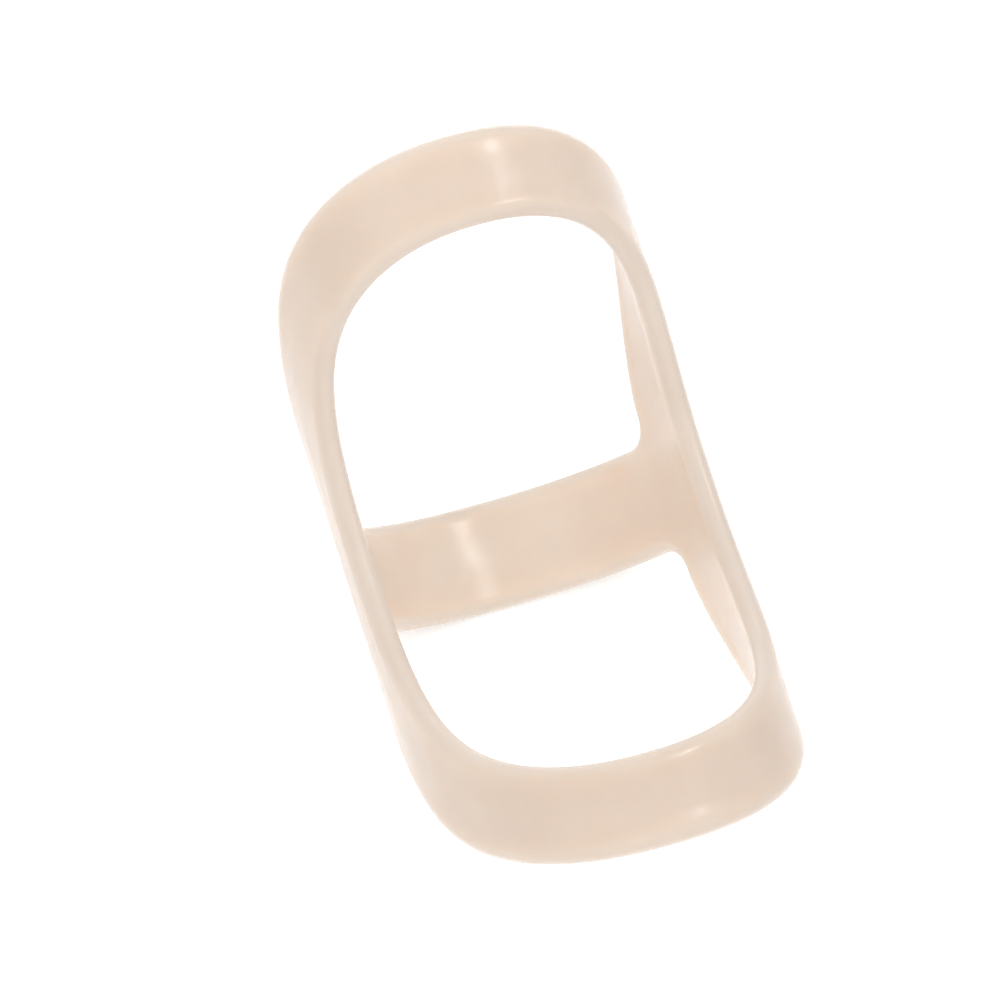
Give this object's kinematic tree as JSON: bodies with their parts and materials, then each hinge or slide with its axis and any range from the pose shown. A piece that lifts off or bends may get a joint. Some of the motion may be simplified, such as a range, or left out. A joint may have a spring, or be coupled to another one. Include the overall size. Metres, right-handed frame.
{
  "type": "finger splint",
  "caption": "Rigid figure-of-eight finger splint in moulded plastic: a crossbar under the finger, sloping side walls and a band over the back of the finger at each end.",
  "frame": {"origin": "middle of the flat underside of the crossbar, where the splint rests", "axes": "+X along the finger towards its tip, +Y across the finger, +Z from the palm side of the finger to its back, up at rest"},
  "size_m": [0.0415, 0.0216, 0.0197],
  "materials": {
    "moulded_plastic": "smooth, softly glossy, slightly translucent beige"
  },
  "bodies": {
    "root": {"splint_band": "moulded_plastic"}
  },
  "joints": []
}
